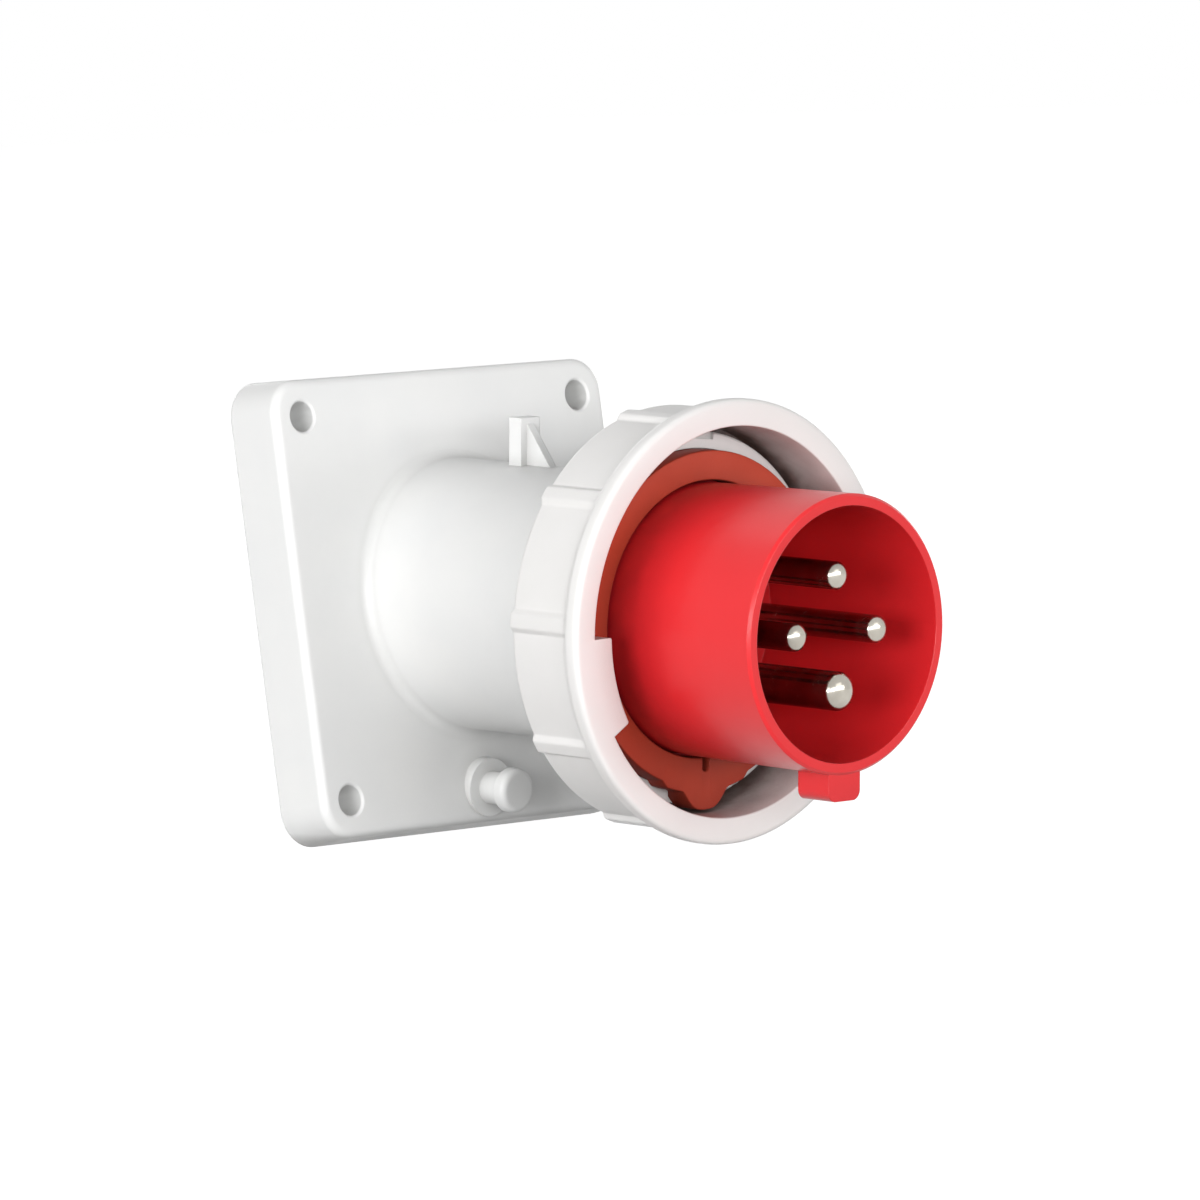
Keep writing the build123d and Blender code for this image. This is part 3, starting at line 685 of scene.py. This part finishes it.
# One bar for a slot, or two crossed bars, standing in the head and past its top
def slotCutter(start, axis, across, look, length):
    above = axis.cross(across)
    shape = bmesh.new()
    width, depth = look["slot"]
    bars = [(look["reach"], width / 2)]
    if look is not screwLook["terminal"]:
        bars.append((width / 2, look["reach"]))
    for right, high in bars:
        corners = [
            start + (axis * along + across * right * wayRight + above * high * wayUp) / perMetre
            for along in (length - depth, length + 1)
            for wayRight, wayUp in ((-1, -1), (1, -1), (1, 1), (-1, 1))
        ]
        bmesh.ops.convex_hull(shape, input=[shape.verts.new(corner) for corner in corners])
    mesh = bpy.data.meshes.new("cutter")
    shape.to_mesh(mesh)
    shape.free()
    return mesh


def cutMesh(mesh, cutterMesh):
    body, cutter = bpy.data.objects.new("body", mesh), bpy.data.objects.new("cutter", cutterMesh)
    for thing in (body, cutter):
        bpy.context.scene.collection.objects.link(thing)
    cut = body.modifiers.new("slot", "BOOLEAN")
    cut.operation, cut.solver, cut.object, cut.use_self = "DIFFERENCE", "EXACT", cutter, True
    done = bpy.data.meshes.new_from_object(body.evaluated_get(bpy.context.evaluated_depsgraph_get()))
    for thing in (body, cutter):
        bpy.data.objects.remove(thing)
    return done


def buildScrews():
    for name, (kind, axis) in screws.items():
        look = screwLook[kind]
        across = forward if kind == "terminal" else side
        start, length = spanAlong(nodes[name], axis, across)
        angles = range(0, 360, threadLook["turnStep"])
        label = camelName(name) + "Threaded"
        plain = sweptMesh(label, start, axis, across, angles, screwSection(look, length))
        done = cutMesh(plain, slotCutter(start, axis, across, look, length))
        done.name = label
        addPiece(done, "plug", "screw_steel", name)


buildRing()
buildGasket()
buildPinFronts()
buildScrews()
print("ring, gasket, pin fronts and screws built")


# The plug rests on the flange's lower edge and the ring, so the floor slopes as they do
floorLook = {"size": 12.0, "diffuse": 0.30, "glow": 0.99}
flangeBack = -0.001


def restingSlope():
    foot = min((v.co for v in nodes["housing"].data.vertices if v.co.y > flangeBack), key=lambda co: co.z)
    return foot, max(atan2(foot.z - v.co.z, foot.y - v.co.y) for v in nodes["bayonet_ring"].data.vertices)


def seenDirectly(tree):
    path = tree.nodes.new("ShaderNodeLightPath").outputs
    seen = newMath(tree, "MAXIMUM", path["Is Camera Ray"], path["Is Glossy Ray"])
    return newMath(tree, "MAXIMUM", seen, path["Is Transmission Ray"])


# White where it is seen, and clear from below
def buildFloorMaterial():
    material = bpy.data.materials.new("paleFloor")
    material.use_nodes = True
    tree = material.node_tree
    tree.nodes.clear()
    flat = newNode(tree, "ShaderNodeBsdfDiffuse", {"Color": (*[floorLook["diffuse"]] * 3, 1)})
    glow = newNode(tree, "ShaderNodeEmission", {
        "Strength": newMath(tree, "MULTIPLY", seenDirectly(tree), floorLook["glow"]),
    })
    both = newNode(tree, "ShaderNodeAddShader", {0: flat.outputs[0], 1: glow.outputs[0]})
    under = tree.nodes.new("ShaderNodeNewGeometry").outputs["Backfacing"]
    clear = tree.nodes.new("ShaderNodeBsdfTransparent")
    shown = newNode(tree, "ShaderNodeMixShader", {0: under, 1: both.outputs[0], 2: clear.outputs[0]})
    newNode(tree, "ShaderNodeOutputMaterial", {"Surface": shown.outputs[0]})
    return material


def buildFloor():
    foot, slope = restingSlope()
    half = floorLook["size"] / 2
    mesh = bpy.data.meshes.new("floor")
    corners = [(-half, -half, 0), (half, -half, 0), (half, half, 0), (-half, half, 0)]
    mesh.from_pydata(corners, [], [(0, 1, 2, 3)])
    mesh.materials.append(buildFloorMaterial())
    floor = bpy.data.objects.new("floor", mesh)
    floor.matrix_world = Matrix.Translation(foot) @ Matrix.Rotation(slope, 4, "X")
    bpy.context.scene.collection.objects.link(floor)


# White where it is seen, with hardly any light of its own
worldLook = {"light": 0.05, "seen": 1.0}


def buildWorld():
    world = bpy.data.worlds.new("studio")
    bpy.context.scene.world = world
    world.use_nodes = True
    tree = world.node_tree
    tree.nodes.clear()
    skies = {}
    for level, strength in worldLook.items():
        sky = newNode(tree, "ShaderNodeBackground", {"Color": (1, 1, 1, 1), "Strength": strength})
        skies[level] = sky.outputs[0]
    both = newNode(tree, "ShaderNodeMixShader", {0: seenDirectly(tree), 1: skies["light"], 2: skies["seen"]})
    newNode(tree, "ShaderNodeOutputWorld", {"Surface": both.outputs[0]})


# White soft boxes: where each stands, its size, and its power in watts
lamps = {
    "lowFront": {"at": (-0.8, -1.45, -0.02), "size": (1.2, 0.3), "power": 12.5},
    "lowRight": {"at": (0.3, -1.6, -0.02), "size": (1.2, 0.3), "power": 6.5},
    "frontBox": {"at": (0.2, -1.7, 0.25), "size": (0.9, 0.7), "power": 2.5},
    "leftBox": {"at": (-1.6, 0.1, 0.5), "size": (0.9, 0.9), "power": 7.5},
    "leftStrip": {"at": (-1.5, -0.5, 0.05), "size": (0.8, 0.4), "power": 13},
    "rightBox": {"at": (1.6, 0.35, 0.1), "size": (0.9, 0.8), "power": 5},
    "backBox": {"at": (0.6, 1.5, 0.6), "size": (1.0, 0.8), "power": 6},
    "topBox": {"at": (0.1, 0.1, 1.6), "size": (1.4, 1.4), "power": 4.5},
}


def buildLamps():
    middle = (cadBox[0] + cadBox[1]) / 2
    for name, look in lamps.items():
        data = bpy.data.lights.new(name, "AREA")
        data.shape = "RECTANGLE"
        data.size, data.size_y = look["size"]
        data.energy = look["power"]
        lamp = bpy.data.objects.new(name, data)
        lamp.location = look["at"]
        lamp.rotation_mode = "QUATERNION"
        lamp.rotation_quaternion = (middle - lamp.location).to_track_quat("-Z", "Y")
        bpy.context.scene.collection.objects.link(lamp)


# The photo's angle: from the front and left, a little below the plug's own level, and rolled
photoView = {
    "azimuth": -44.650, "elevation": -1.586, "roll": -7.272, "distance": 1.83546,
    "aim": (0.002358, -0.043147, -0.004685), "lens": 303.87, "sensor": 36.0, "clip": (0.05, 50.0),
}


def buildCamera():
    data = bpy.data.cameras.new("photoCamera")
    data.sensor_width = photoView["sensor"]
    data.lens = photoView["lens"]
    data.clip_start, data.clip_end = photoView["clip"]
    camera = bpy.data.objects.new("photoCamera", data)
    turned = Matrix.Rotation(radians(photoView["azimuth"]), 4, "Z")
    tipped = Matrix.Rotation(pi / 2 - radians(photoView["elevation"]), 4, "X")
    rolled = Matrix.Rotation(radians(photoView["roll"]), 4, "Z")
    aimed = turned @ tipped @ rolled
    place = Vector(photoView["aim"]) + aimed.col[2].xyz * photoView["distance"]
    camera.matrix_world = Matrix.Translation(place) @ aimed
    bpy.context.scene.collection.objects.link(camera)
    bpy.context.scene.camera = camera


buildFloor()
buildWorld()
buildLamps()
buildCamera()
bpy.context.scene.view_settings.view_transform = "Standard"
print("floor, world, lamps and camera set")
